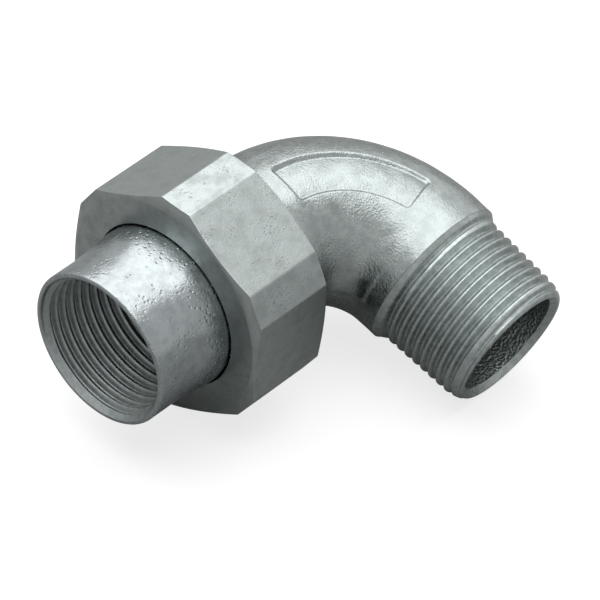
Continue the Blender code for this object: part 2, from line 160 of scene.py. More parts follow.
class UnionSizes(bpy.types.PropertyGroup):
    """Sizes of the union"""
    crossing: length("Crossing", 0.03465, "Middle of the nut to the crossing of the legs")
    bend_radius: length("Bend radius", 0.0197, "Centre line of the bend")
    cast_radius: length("Casting radius", 0.0144275, "Outside of the bend")
    bore_radius: length("Bore radius", 0.0103, "Inside of the bend")
    cast_end: length("Casting end", 0.0231, "Crossing to the edge where turning of leg 2 starts")
    male_reach: length("Male reach", 0.0419, "Crossing to the end of the male thread")
    step: length("Step", 0.00012, "Drop from the cast skin to the turned metal")
    step_slope: number("Step slope", 0.61, "Slope of the turned metal down to the thread")
    plain_band: length("Plain band", 0.00102, "Casting end to the middle of the first groove")
    tip_length: length("Tip length", 0.0036, "Stretch over which the male end is crowned")
    tip_cut: length("Tip cut", 0.00095, "Cut that the crowning takes at the end")
    tip_round: length("Tip rounding", 0.00025, "Extra cut that rounds the male end's corner")
    mouth_chamfer: length("Mouth chamfer", 0.0010, "Reamed edge of the bore")
    pitch: length("Thread pitch", 0.001814, "Conduit thread")
    depth: length("Male thread depth", 0.00098, "Worn and filled by the plating")
    socket_thread_depth: length("Socket thread depth", 0.00096, "Filled by the plating")
    socket_root_flat: length("Socket thread root", 0.00050, "Bottom of the socket thread's groove")
    root_flat: length("Male thread root", 0.00030, "Bottom of the male thread's groove")
    taper: number("Taper", 1 / 32, "Change of radius along the axis")
    tip_radius: length("Tip radius", 0.01284, "Crest of the male thread at its end")
    socket_radius: length("Socket radius", 0.0133, "Root of the female thread at its mouth")
    union_pitch: length("Union pitch", 0.002309, "Thread between elbow and nut")
    union_depth: length("Union depth", 0.00115, "Thread between elbow and nut")
    union_radius: length("Union radius", 0.0179, "Crest of the elbow's union thread")
    elbow_root_flat: length("Elbow root flat", 0.00063, "Bottom of the elbow's union groove")
    nut_root_flat: length("Nut root flat", 0.00041, "Bottom of the nut's union groove")
    radial_gap: length("Radial gap", 0.00035, "Crest of one union thread to root of the other")
    clearance: length("Clearance", 0.0003, "Gap between neighbouring pieces")
    shoulder: length("Shoulder", 0.0255, "Crossing to the shoulder behind the union thread")
    flare: length("Flare", 0.0045, "Length over which the neck widens to the shoulder")
    seat_reach: length("Seat reach", 0.0360, "Crossing to the face of the union end")
    seat_width: length("Seat width", 0.0036, "Radial width of the cone seat")
    union_chamfer: length("Union chamfer", 0.0006, "Chamfer at the end of the union thread")
    nut_face_radius: length("Nut face radius", 0.0201, "Where the nut's end chamfers start")
    nut_chamfer: length("Nut chamfer", 0.0008, "Length of the end chamfers at the corners")
    nut_hole_radius: length("Nut hole radius", 0.0152, "Hole in the nut's lip")
    lip: length("Lip", 0.0039, "Thickness of the nut's lip")
    counterbore: length("Counterbore", 0.0012, "Depth of the plain mouth at the nut's rear")
    counterbore_gap: length("Counterbore gap", 0.0001, "Plain mouth's radius over the thread's root")
    hub_radius: length("Hub radius", 0.01427, "Outside of the hub")
    hub_edge: length("Hub edge", 0.00045, "Rounding of the hub's rim")
    hub_swell: length("Hub swell", 0.00066, "Extra radius where the hub goes into the nut")
    hub_swell_run: length("Hub swell run", 0.0100, "Length over which the hub swells")
    collar: length("Collar", 0.0026, "Thickness of the hub's collar")
    collar_radius: length("Collar radius", 0.01675, "Outside of the hub's collar")
    face_gap: length("Face gap", 0.0006, "Between the flat faces outside the cone")
    nose_land: length("Nose land", 0.0009, "Flat ring on the hub's nose")
    socket_depth: length("Socket depth", 0.0186, "Mouth to the bottom of the socket")
    socket_run_out: length("Socket run-out", 0.00145, "Bottom of the socket to its thread")
    mouth_flare: length("Mouth flare", 0.0002, "Countersink over the thread's root")
    soft_edge: length("Soft edge", 0.00018, "Rounding of the nut's inner edges")
    cast_wave: length("Casting waviness", 0.00006, "Unevenness of the cast skin")
    panel_depth: length("Panel depth", 0.0006, "Sunk panel on the bend")
    panel_lean: share("Panel lean", 0.45, "Share of that depth that the near end has more")
    panel_corner: length("Panel corner", 0.0008, "Corner radius of the panel")
    panel_wall: length("Panel wall", 0.0007, "Width of the panel's sloping wall")
    panel_start: angle("Panel start", 4.5, "Round the bend from leg 1")
    panel_end: angle("Panel end", 76.3, "Round the bend from leg 1")
    panel_outer: angle("Panel outer", 74.0, "Round the tube from its outer side")
    panel_inner: angle("Panel inner", 105.0, "Round the tube from its outer side")


class UnionFinish(bpy.types.PropertyGroup):
    """Colours and gloss of the zinc plating, with painted shade in the socket and in the bore's pits
    """
    cast_light: shade("Casting light", (0.335, 0.37, 0.363), "Plating on the bend")
    cast_dark: shade("Casting dark", (0.275, 0.306, 0.3), "Duller plating on the bend")
    bore_light: shade("Bore light", (0.35, 0.386, 0.378), "Rough casting in the bore")
    # The bore's dark shade is painted shade in its pits.
    bore_pit_painted_shade: shade("Bore dark", (0.17, 0.19, 0.184), "Pits in the bore")
    thread_light: shade("Thread light", (0.395, 0.438, 0.43), "Plating on the threads")
    thread_dark: shade("Thread dark", (0.32, 0.355, 0.348), "Duller plating on the threads")
    nut_light: shade("Nut light", (0.35, 0.385, 0.378), "Plating on the nut's flats")
    nut_dark: shade("Nut dark", (0.24, 0.265, 0.26), "Dull blotches on the nut's flats")
    hub_light: shade("Hub light", (0.35, 0.383, 0.388), "Plating on the hub")
    hub_dark: shade("Hub dark", (0.295, 0.323, 0.328), "Duller plating on the hub")
    # The socket's two shades lie below the hub's: painted shade inside the socket.
    socket_light_painted_shade: shade("Socket light", (0.315, 0.347, 0.342), "Plating in the socket")
    socket_dark_painted_shade: shade("Socket dark", (0.26, 0.286, 0.282), "Duller plating in the socket")
    cast_roughness: share("Casting roughness", 0.24, "Roughness of the bend")
    bore_roughness: share("Bore roughness", 0.4, "Roughness of the bore")
    thread_roughness: share("Thread roughness", 0.34, "Roughness of the threads")
    nut_roughness: share("Nut roughness", 0.36, "Roughness of the nut")
    hub_roughness: share("Hub roughness", 0.24, "Roughness of the hub")
    socket_roughness: share("Socket roughness", 0.42, "Roughness of the socket")


class UnionStudio(bpy.types.PropertyGroup):
    """Camera, lamps, backdrop and floor"""
    focal: number("Focal length", 300.0, "Of the lens", subtype="DISTANCE_CAMERA")
    heading: angle("Heading", 37.625, "Way that the camera looks, from +X towards +Y")
    fall: angle("Fall", 43.996, "Way that the camera looks, below the horizon")
    roll: angle("Roll", 6.696, "Turn of the camera round its line of sight")
    distance: length("Distance", 0.8556, "Camera to the crossing of the legs")
    right: length("Right", 0.006408, "Crossing of the legs from the middle of the picture", -1.0)
    up: length("Up", 0.019850, "Crossing of the legs from the middle of the picture", -1.0)
    floor_color: shade("Floor", (0.43, 0.43, 0.43), "Pale floor")
    floor_glow: share("Floor glow", 0.76, "Whitens the floor where it is seen")
    floor_in_metal: share("Floor in metal", 0.04, "Share of that glow that the metal shows")
    fill: share("Fill light", 0.12, "Light from all round")
    backdrop_in_metal: share("Backdrop in metal", 0.78, "Share of the white that the metal shows")
    softbox_power: number("Softbox", 23.5, "Power of the wide lamp above", subtype="POWER")
    softbox_size: length("Softbox size", 2.24, "Diameter of the wide lamp above")
    side_power: number("Side lamp", 2.0, "Power of the lamp behind on the right", subtype="POWER")
    side_size: length("Side lamp size", 1.4, "Diameter of the lamp behind on the right")


# Working in edit mode


def deselect_all():
    if bpy.context.mode != "OBJECT":
        bpy.ops.object.mode_set(mode="OBJECT")
    bpy.ops.object.select_all(action="DESELECT")


def pick(item):
    """Select one object alone and make it the active one."""
    deselect_all()
    item.select_set(True)
    bpy.context.view_layer.objects.active = item


def open_mesh(item):
    pick(item)
    bpy.ops.object.mode_set(mode="EDIT")


def select_points(item, wanted):
    """In edit mode, select the vertices whose place passes the test, and what they bound."""
    work = bmesh.from_edit_mesh(item.data)
    for vertex in work.verts:
        vertex.select = wanted(vertex.co)
    work.select_flush_mode()
    bmesh.update_edit_mesh(item.data)


def merge_all():
    bpy.ops.mesh.select_all(action="SELECT")
    bpy.ops.mesh.remove_doubles(threshold=MERGE)


def draw_profile(name, points):
    """A new mesh in edit mode: a line of edges through (radius, height) points at +X."""
    deselect_all()
    bpy.ops.mesh.primitive_plane_add()
    item = bpy.context.object
    item.name = item.data.name = name
    bpy.ops.object.mode_set(mode="EDIT")
    bpy.ops.mesh.select_mode(type="VERT")
    bpy.ops.mesh.merge(type="CENTER")
    places = [Vector((radius, 0, height)) for radius, height in points]
    bpy.ops.transform.translate(value=places[0])
    for here, there in zip(places, places[1:]):
        bpy.ops.mesh.extrude_region_move(TRANSFORM_OT_translate={"value": there - here})
    bpy.ops.mesh.select_all(action="SELECT")
    return item


def finish_part(item, material):
    bpy.ops.object.mode_set(mode="OBJECT")
    item.data.materials.clear()
    item.data.materials.append(material)
    return item


def lathe(name, points, segments, material):
    """Spin a profile of (radius, height) points all round Z."""
    item = draw_profile(name, points)
    bpy.ops.mesh.spin(steps=segments, angle=math.tau, center=(0, 0, 0), axis=(0, 0, 1))
    merge_all()
    return finish_part(item, material)


class Thread:
    """A right-hand groove round Z, measured from the line of its crests.

    start is the height of the groove's middle at the angle phase, where its first turn begins.
    surface(height) is the radius of the crests. side is -1 where the groove is cut inwards, and
    1 in a hole. It fades in at its start and goes on, or, where turns are given, it starts in
    full and fades out after them. Between grooves the radius lies outside the metal of the
    blank, which clips it.
    """

    def __init__(self, pitch, depth, root_flat, start, surface, side,
                 phase=0.0, turns=None, edge=THREAD_EDGE):
        self.pitch = pitch
        self.depth = depth
        self.root = root_flat / 2
        self.mouth = root_flat / 2 + depth * FLANK
        self.start = start
        self.surface = surface
        self.side = side
        self.phase = phase
        self.turns = turns
        self.edge = edge

    def offsets(self):
        """Places across one pitch, from the groove's middle, where the mesh has an edge."""
        half = {0.0, self.root + self.edge, (self.root + self.mouth) / 2,
                self.mouth - self.edge, self.mouth + self.edge, self.pitch / 2}
        if self.root > self.edge:
            half.add(self.root - self.edge)
        return sorted(half | {self.pitch - place for place in half})

    def radius(self, around, height):
        part = ((around - self.phase) / math.tau) % 1.0
        turn = round((height - self.start) / self.pitch - part) + part
        across = abs(height - self.start - turn * self.pitch)
        from_end = turn if self.turns is None else self.turns - turn
        lift = max(0.0, 1 - from_end / RUN_OUT_TURNS)
        cut = self.depth * (1 - RUN_OUT_LIFT * lift) - max(0.0, across - self.root) / FLANK
        return self.surface(height) + self.side * cut


def set_radius(vertex, radius, height):
    x, y = vertex.co.xy
    scale = radius / math.hypot(x, y)
    vertex.co = (x * scale, y * scale, height)


def sleeve(name, thread, low, high, segments, material, trim):
    """Tube from low to high whose rows of faces follow a thread, and which has its shape.

    trim(radius, height) gives the radius that the blank leaves.
    """
    base = thread.surface((low + high) / 2)
    lead = thread.pitch * thread.phase / math.tau
    top_turn = math.ceil((high - thread.start) / thread.pitch) + 1
    bottom_turn = math.floor((low - thread.start) / thread.pitch) - 1
    bottom = thread.start - lead + bottom_turn * thread.pitch
    item = draw_profile(name, [(base, bottom + offset) for offset in thread.offsets()])
    bpy.ops.object.mode_set(mode="OBJECT")
    sweep = item.modifiers.new("sweep", "SCREW")
    sweep.steps = segments
    sweep.screw_offset = thread.pitch
    sweep.iterations = top_turn - bottom_turn
    sweep.use_normal_calculate = False
    bpy.ops.object.modifier_apply(modifier=sweep.name)
    open_mesh(item)
    merge_all()
    for level, past in ((low, lambda co: co.z < low), (high, lambda co: co.z > high)):
        select_points(item, past)
        bpy.ops.transform.resize(value=(1, 1, 0), center_override=(0, 0, level))
    merge_all()
    finish_part(item, material)
    for vertex in item.data.vertices:
        x, y, z = vertex.co
        for level in (low, high):
            if abs(z - level) < 2 * MERGE:
                z = level
        set_radius(vertex, trim(thread.radius(math.atan2(y, x), z), z), z)
    return item


def ring_between(tube, height, radius, material):
    """Flat ring from a tube's end edge to a circle, with the same number of points."""
    pick(tube)
    bpy.ops.object.duplicate()
    item = bpy.context.object
    open_mesh(item)
    select_points(item, lambda co: abs(co.z - height) > MERGE)
    bpy.ops.mesh.delete(type="VERT")
    bpy.ops.mesh.select_all(action="SELECT")
    bpy.ops.mesh.extrude_region_move(TRANSFORM_OT_translate={"value": (0, 0, 0)})
    finish_part(item, material)
    for vertex in item.data.vertices:
        if vertex.select:
            set_radius(vertex, radius, height)
    return item


def place(item, matrix):
    """Move a mesh, leaving its object at the origin."""
    item.data.transform(matrix)
    item.data.update()
    return item


def at_crossing(sizes):
    """Where the centre lines of the two legs cross at rest."""
    return Matrix.Translation((sizes.crossing, 0, AXIS_HEIGHT))


def join(name, items):
    """One closed piece from parts whose edges meet point to point."""
    pick(items[0])
    for item in items[1:]:
        item.select_set(True)
    bpy.ops.object.join()
    piece = bpy.context.object
    piece.name = piece.data.name = name
    bpy.ops.object.mode_set(mode="EDIT")
    merge_all()
    bpy.ops.mesh.normals_make_consistent(inside=False)
    bpy.ops.object.mode_set(mode="OBJECT")
    work = bmesh.new()
    work.from_mesh(piece.data)
    unpaired = sum(1 for edge in work.edges if len(edge.link_faces) != 2)
    work.free()
    if unpaired:
        raise RuntimeError(f"{name} is not closed: {unpaired} edges have no second face")
    return piece


def smooth(piece, below):
    pick(piece)
    bpy.ops.object.shade_smooth_by_angle(angle=math.radians(below))


def arc(centre, radius, start, end, steps):
    """Points (radius, height) on an arc, from one angle in degrees to another."""
    points = []
    for i in range(steps + 1):
        turn = math.radians(start + (end - start) * i / steps)
        points.append((centre[0] + radius * math.cos(turn), centre[1] + radius * math.sin(turn)))
    return points


def smooth_min(first, second, width):
    """The lesser of two values, rounded off where they differ by less than a width."""
    blend = max(width - abs(first - second), 0.0) / width
    return min(first, second) - blend * blend * width / 4


def ease(part):
    """From 0 to 1 as part goes from 0 to 1, with a soft start and end."""
    part = min(max(part, 0.0), 1.0)
    return part * part * (3 - 2 * part)


# Elbow


def beyond(value, low, high):
    """How far a value lies outside a span, and less than 0 within it."""
    return abs(value - (low + high) / 2) - (high - low) / 2


def panel_share(sizes, along, across):
    """How deep the panel is, as a share, at an angle round the bend and one round the tube."""
    corner = sizes.panel_corner
    reach = sizes.bend_radius + sizes.cast_radius * math.cos(across)
    far = beyond(along, sizes.panel_start, sizes.panel_end) * reach + corner
    wide = beyond(across, sizes.panel_outer, sizes.panel_inner) * sizes.cast_radius + corner
    distance = math.hypot(max(far, 0.0), max(wide, 0.0)) - corner + min(max(far, wide), 0.0)
    down = ((across - sizes.panel_outer) / (sizes.panel_inner - sizes.panel_outer)
            + (along - sizes.panel_start) / (sizes.panel_end - sizes.panel_start)) / 2
    lean = 1 + sizes.panel_lean * (1 - 2 * down)
    return lean * ease(0.5 - distance / (sizes.panel_wall * lean))


def bent_tube(name, sizes, radius, start, end, material):
    """Tube along both legs: a ring is extruded, spun round the bend and extruded again."""
    deselect_all()
    bpy.ops.mesh.primitive_circle_add(vertices=ELBOW_SEGMENTS, radius=radius,
                                      location=(-start, 0, 0), rotation=(0, QUARTER, 0))
    bpy.ops.object.transform_apply(location=True, rotation=True, scale=True)
    item = bpy.context.object
    item.name = item.data.name = name
    bpy.ops.object.mode_set(mode="EDIT")
    bpy.ops.mesh.select_mode(type="VERT")
    bpy.ops.mesh.select_all(action="SELECT")
    bend = sizes.bend_radius
    step = bend * QUARTER / BEND_STEPS
    extrude_on(Vector((start - bend, 0, 0)), step)
    bpy.ops.mesh.spin(steps=BEND_STEPS, angle=QUARTER, center=(-bend, -bend, 0), axis=(0, 0, 1))
    merge_all()
    select_points(item, lambda co: co.y < -bend + MERGE and co.x > -bend)
    extrude_on(Vector((0, bend - end, 0)), step)
    return finish_part(item, material)


def extrude_on(run, step):
    """Extrude what is selected along a run, in stretches of about one step."""
    count = max(1, round(run.length / step))
    for _ in range(count):
        bpy.ops.mesh.extrude_region_move(TRANSFORM_OT_translate={"value": run / count})


def bend_angles(sizes, co):
    """Angle round the bend from leg 1, and angle round the tube from its outer side."""
    x, y = co.x + sizes.bend_radius, co.y + sizes.bend_radius
    return math.atan2(x, y), math.atan2(co.z, math.hypot(x, y) - sizes.bend_radius)


def in_bend(sizes, co):
    return co.x > -sizes.bend_radius - MERGE and co.y > -sizes.bend_radius - MERGE


def sink_panel(item, sizes):
    """Make the mesh fine round the panel, and press the panel into the bend."""
    span = sizes.panel_wall / sizes.cast_radius
    turn = sizes.panel_wall / sizes.bend_radius

    def near_panel(co):
        along, across = bend_angles(sizes, co)
        return (in_bend(sizes, co)
                and sizes.panel_start - turn < along < sizes.panel_end + turn
                and sizes.panel_outer - span < across < sizes.panel_inner + span)

    open_mesh(item)
    select_points(item, near_panel)
    bpy.ops.mesh.select_more()
    bpy.ops.mesh.subdivide(number_cuts=PANEL_CUTS)
    bpy.ops.object.mode_set(mode="OBJECT")
    bend = sizes.bend_radius
    for vertex in item.data.vertices:
        if in_bend(sizes, vertex.co):
            along, across = bend_angles(sizes, vertex.co)
            radius = sizes.cast_radius - sizes.panel_depth * panel_share(sizes, along, across)
            reach = bend + radius * math.cos(across)
            vertex.co = (reach * math.sin(along) - bend, reach * math.cos(along) - bend,
                         radius * math.sin(across))


def roughen(item, amount, size, low, high, height):
    """Make a cast skin slightly uneven, fading to nothing at two heights along its way."""
    item.data.update()
    normals = [vertex.normal.copy() for vertex in item.data.vertices]
    for vertex, normal in zip(item.data.vertices, normals):
        edge = min(height(vertex.co) - low, high - height(vertex.co))
        strength = min(max(edge / size, 0.0), 1.0)
        vertex.co += normal * amount * strength * noise.noise(vertex.co / size)


def build_skin(sizes, material):
    """Outside of the bend, with its panel and the slight unevenness of a casting."""
    skin = bent_tube("bend_skin", sizes, sizes.cast_radius, sizes.shoulder - sizes.flare,
                     sizes.cast_end, material)
    sink_panel(skin, sizes)
    bend = sizes.bend_radius
    quarter = bend * QUARTER

    def height(co):
        if in_bend(sizes, co):
            return bend * bend_angles(sizes, co)[0]
        return bend + co.x if co.y > -bend else quarter - bend - co.y

    roughen(skin, sizes.cast_wave, WAVE_GRAIN, bend - sizes.shoulder + sizes.flare,
            quarter - bend + sizes.cast_end, height)
    return skin


def build_union_end(sizes, casting, thread_metal):
    """Leg 1's flare, union thread, face and cone seat."""
    crest, reach = sizes.union_radius, sizes.seat_reach
    rise = crest - sizes.cast_radius
    low = sizes.shoulder - sizes.flare
    turns = [QUARTER * i / FLARE_STEPS for i in range(FLARE_STEPS + 1)]
    flare = lathe("flare", [(crest - rise * math.cos(turn), low + sizes.flare * math.sin(turn))
                            for turn in turns], ELBOW_SEGMENTS, casting)
    # The elbow is turned by the tilt and its union thread is not, which the phase makes up for.
    thread = Thread(sizes.union_pitch, sizes.union_depth, sizes.elbow_root_flat,
                    sizes.shoulder + sizes.clearance, lambda height: crest, -1, phase=TILT)

    def blank(radius, height):
        return min(radius, crest, crest - sizes.union_chamfer + reach - height)

    ridge = sleeve("union_thread", thread, sizes.shoulder, reach, ELBOW_SEGMENTS, thread_metal,
                   blank)
    inner = crest - sizes.union_depth - 2 * THREAD_EDGE
    rim = ring_between(ridge, reach, inner, thread_metal)
    seat = lathe("cone_seat", [(inner, reach), (sizes.bore_radius + sizes.seat_width, reach),
                               (sizes.bore_radius, reach - sizes.seat_width)],
                 ELBOW_SEGMENTS, thread_metal)
    return [place(part, ALONG_LEG_1) for part in (flare, ridge, rim, seat)]


def build_male_end(sizes, thread_metal):
    """Leg 2's step, taper thread, end face and mouth."""
    turned = sizes.cast_radius - sizes.step
    step_end = sizes.cast_end + sizes.step / STEP_SLANT
    step = lathe("step", [(sizes.cast_radius, sizes.cast_end), (turned, step_end)],
                 ELBOW_SEGMENTS, thread_metal)
    reach = sizes.male_reach

    def crest(height):
        return sizes.tip_radius + sizes.taper * (reach - height)

    def blank(radius, height):
        """The turned metal, with a slope behind the thread and a crowned and rounded tip."""
        metal = max(turned - sizes.step_slope * (height - step_end), crest(height))
        crowning = max(0.0, 1 - (reach - height) / sizes.tip_length) ** 2
        rounding = max(0.0, 1 - (reach - height) / (2 * sizes.tip_round)) ** 2
        cut = sizes.tip_cut * crowning + sizes.tip_round * rounding
        return min(radius, metal, crest(height) - cut if crowning else metal)

    thread = Thread(sizes.pitch, sizes.depth, sizes.root_flat, sizes.cast_end + sizes.plain_band,
                    crest, -1)
    spigot = sleeve("male_thread", thread, step_end, reach, ELBOW_SEGMENTS, thread_metal, blank)
    mouth = sizes.bore_radius + sizes.mouth_chamfer
    land = mouth + END_LAND
    rim = ring_between(spigot, reach, land, thread_metal)
    end = lathe("male_mouth", [(land, reach), (mouth, reach),
                               (sizes.bore_radius, reach - sizes.mouth_chamfer)],
                ELBOW_SEGMENTS, thread_metal)
    return [place(part, ALONG_LEG_2) for part in (step, spigot, rim, end)]


def build_elbow(sizes, finish):
    """One casting with its turned ends, in the frame of its legs, then laid down at rest."""
    casting = cast_finish(finish)
    thread_metal = thread_finish(finish)
    bore = bent_tube("bend_bore", sizes, sizes.bore_radius, sizes.seat_reach - sizes.seat_width,
                     sizes.male_reach - sizes.mouth_chamfer, bore_finish_painted_pit_shade(finish))
    parts = [build_skin(sizes, casting), bore]
    parts += build_union_end(sizes, casting, thread_metal)
    parts += build_male_end(sizes, thread_metal)
    elbow = join("cast_elbow", parts)
    place(elbow, at_crossing(sizes) @ Matrix.Rotation(TILT, 4, "X"))
    smooth(elbow, SMOOTH_BELOW)
    return elbow


# Nut


def flats_radius(around):
    """Distance from the axis to the nut's flats, at an angle from its top narrow flat."""
    from_narrow = (around + SIXTH / 2) % SIXTH - SIXTH / 2
    from_wide = SIXTH / 2 - abs(from_narrow)
    narrow = (NUT_HIGH.z - NUT_LOW.z) / 2 / math.cos(from_narrow)
    wide = (NUT_HIGH.y - NUT_LOW.y) / 2 / math.cos(from_wide)
    return smooth_min(narrow, wide, EDGE_SOFT)


def crowd_corners(around):
    """Shift an angle so that the mesh's columns gather at the corners between flats."""
    middle = round(around / SIXTH) * SIXTH
    offset = around - middle
    even = [0.0, *CROWDED, SIXTH / 2]
    wanted = [0.0, NUT_CORNER - CROWD, NUT_CORNER + CROWD, SIXTH / 2]
    step = 0
    while step < 2 and abs(offset) > even[step + 1]:
        step += 1
    part = (abs(offset) - even[step]) / (even[step + 1] - even[step])
    return middle + math.copysign(wanted[step] + part * (wanted[step + 1] - wanted[step]), offset)


def crease_height(inward, crease, half):
    """Where a row of the skin goes, so that rows follow the edge of the end chamfer."""
    before, after = NOMINAL_CREASE - CREASE_SOFT, NOMINAL_CREASE + CREASE_SOFT
    if inward <= before:
        return inward * (crease - CREASE_SOFT) / before
    if inward <= after:
        return inward - NOMINAL_CREASE + crease
    return crease + CREASE_SOFT + (inward - after) * (half - crease - CREASE_SOFT) / (half - after)


def shape_flats(nut, sizes, back, front):
    """Give the nut's round blank its flats and its turned end chamfers.

    The ring just inside each face's edge only turns with the columns, and what lies within it
    stays as it is.
    """
    half = (front - back) / 2
    ring = sizes.nut_face_radius - CREASE_SOFT
    slope = sizes.nut_chamfer / (flats_radius(NUT_CORNER) - sizes.nut_face_radius)
    for vertex in nut.data.vertices:
        x, y, z = vertex.co
        radius = math.hypot(x, y)
        if radius < ring - CREASE_SOFT / 2:
            continue
        around = crowd_corners(math.atan2(y, x))
        if radius > ring + CREASE_SOFT / 2:
            flat = flats_radius(around)
            crease = (flat - sizes.nut_face_radius) * slope
            inward = crease_height(half - abs(z - back - half), crease, half)
            radius = smooth_min(flat, sizes.nut_face_radius + inward / slope, CHAMFER_SOFT)
            z = back + inward if z < back + half else front - inward
        vertex.co = (radius * math.cos(around), radius * math.sin(around), z)


def build_nut(sizes, finish):
    """Nut with wide and narrow flats, a thread inside and a lip in front."""
    metal, thread_metal = nut_finish(finish), nut_thread_finish(finish)
    back = sizes.crossing - NUT_HIGH.x
    front = sizes.crossing - NUT_LOW.x
    long = front - back
    rows = [NOMINAL_CREASE * row for row in CREASE_ROWS]
    rows += [long * row / NUT_ROWS for row in range(1, NUT_ROWS // 2 + 1)]
    heights = sorted(rows + [long - row for row in rows[:-1]], reverse=True)
    face = sizes.nut_face_radius
    skin = lathe("nut_flats", [(face, back + height) for height in heights], NUT_SEGMENTS, metal)
    root = sizes.union_radius + sizes.radial_gap
    crest = root - sizes.union_depth
    mouth = root + sizes.counterbore_gap
    soft = sizes.soft_edge
    lip_back = front - sizes.lip
    hole = sizes.nut_hole_radius
    front_ring = lathe("nut_front", [(face, front), (face - CREASE_SOFT, front)]
                       + arc((hole + soft, front - soft), soft, 90, 180, SOFT_STEPS)
                       + [(hole, lip_back), (crest, lip_back)], NUT_SEGMENTS, metal)
    step = back + sizes.counterbore
    rear_ring = lathe("nut_rear", [(mouth, step)]
                      + arc((mouth + soft, back + soft), soft, 180, 270, SOFT_STEPS)
                      + [(face - CREASE_SOFT, back), (face, back)], NUT_SEGMENTS, metal)
    start = sizes.shoulder + sizes.clearance - sizes.union_pitch / 2
    end = sizes.seat_reach + sizes.union_pitch / 2 + sizes.clearance
    thread = Thread(sizes.union_pitch, root - crest, sizes.nut_root_flat, start,
                    lambda height: crest, 1, turns=(end - start) / sizes.union_pitch)

    def lead_in(radius, height):
        return max(radius, crest, mouth - (height - step) / FLANK)

    inside = sleeve("nut_thread", thread, step, lip_back, NUT_SEGMENTS, thread_metal, lead_in)
    nut = join("union_nut_plated", [skin, front_ring, rear_ring, inside])
    shape_flats(nut, sizes, back, front)
    place(nut, at_crossing(sizes) @ ALONG_LEG_1)
    smooth(nut, NUT_SMOOTH_BELOW)
    return nut


# Hub


def build_hub(sizes, finish):
    """Hub with a threaded socket, a collar and a cone nose."""
    metal, thread_metal = hub_finish(finish), socket_finish_painted_shade(finish)
    reach = sizes.crossing - HUB_LOW.x
    bottom = reach - sizes.socket_depth

    def crest(height):
        return sizes.socket_radius - sizes.socket_thread_depth - sizes.taper * (reach - height)

    thread = Thread(sizes.pitch, sizes.socket_thread_depth, sizes.socket_root_flat,
                    bottom + sizes.socket_run_out, crest, 1, edge=SOCKET_EDGE)
    mouth = sizes.socket_radius + sizes.mouth_flare

    def countersink(radius, height):
        return max(radius, crest(height), mouth - (reach - height))

    socket = sleeve("socket_thread", thread, bottom, reach, HUB_SEGMENTS, thread_metal, countersink)
    collar_back = sizes.seat_reach + sizes.face_gap
    collar_front = collar_back + sizes.collar
    cone_gap = sizes.clearance * math.sqrt(2)
    seat_bottom = sizes.seat_reach - sizes.seat_width
    nose = seat_bottom + sizes.nose_land + cone_gap
    cone_top = sizes.bore_radius + collar_back - seat_bottom - cone_gap
    edge, bore = sizes.hub_edge, sizes.bore_radius
    nut_front = sizes.crossing - NUT_LOW.x
    tube = []
    for row in range(1, TUBE_ROWS + 1):
        height = reach - edge - (reach - edge - collar_front) * row / TUBE_ROWS
        swell = ease(1 - (height - nut_front) / sizes.hub_swell_run)
        tube.append((sizes.hub_radius + sizes.hub_swell * swell, height))
    outside = lathe("hub_outside", [(mouth, reach)]
                    + arc((sizes.hub_radius - edge, reach - edge), edge, 90, 0, RIM_STEPS)
                    + tube
                    + arc((sizes.collar_radius - edge, collar_front - edge), edge, 90, 0, SOFT_STEPS)
                    + [(sizes.collar_radius, collar_back), (cone_top, collar_back),
                       (bore + sizes.nose_land, nose), (bore, nose),
                       (bore, bottom - (crest(bottom) - bore)), (crest(bottom), bottom)],
                    HUB_SEGMENTS, metal)
    hub = join("socket_hub", [outside, socket])
    place(hub, at_crossing(sizes) @ ALONG_LEG_1)
    smooth(hub, SMOOTH_BELOW)
    return hub


# Finishes


def add_node(tree, kind, inputs, **settings):
    """New node, with its inputs given as values or as the sockets that feed them."""
    made = tree.nodes.new(kind)
    for name, value in settings.items():
        setattr(made, name, value)
    for name, value in inputs.items():
        if isinstance(value, bpy.types.NodeSocket):
            tree.links.new(value, made.inputs[name])
        else:
            made.inputs[name].default_value = value
    return made


def color_sockets(sockets):
    return [socket for socket in sockets if socket.type == "RGBA"]


